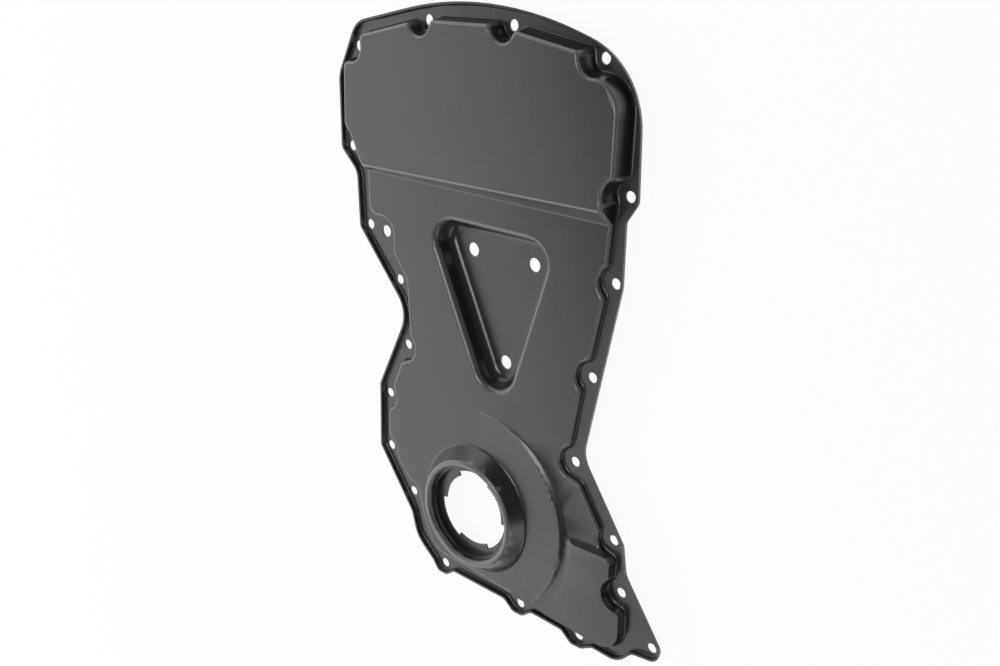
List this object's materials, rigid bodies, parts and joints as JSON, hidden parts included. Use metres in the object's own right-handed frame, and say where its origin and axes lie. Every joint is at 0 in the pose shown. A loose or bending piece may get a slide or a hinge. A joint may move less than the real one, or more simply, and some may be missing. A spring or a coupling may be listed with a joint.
{
  "type": "timing cover",
  "caption": "Pressed steel cover for an engine's timing drive, with a bolted flange, raised body, round crank seal seat and a recessed triangular pocket.",
  "frame": {"origin": "on the crankshaft axis, at mid-depth of the seal seat", "axes": "+Z out of the engine along the crank axis, +Y from the crank up towards the camshaft end, +X to the right as seen from outside the engine"},
  "size_m": [0.3316, 0.4698, 0.0315],
  "materials": {
    "black_coat": "satin black electro-coat"
  },
  "bodies": {
    "root": {"timing_cover": "black_coat"}
  },
  "joints": []
}
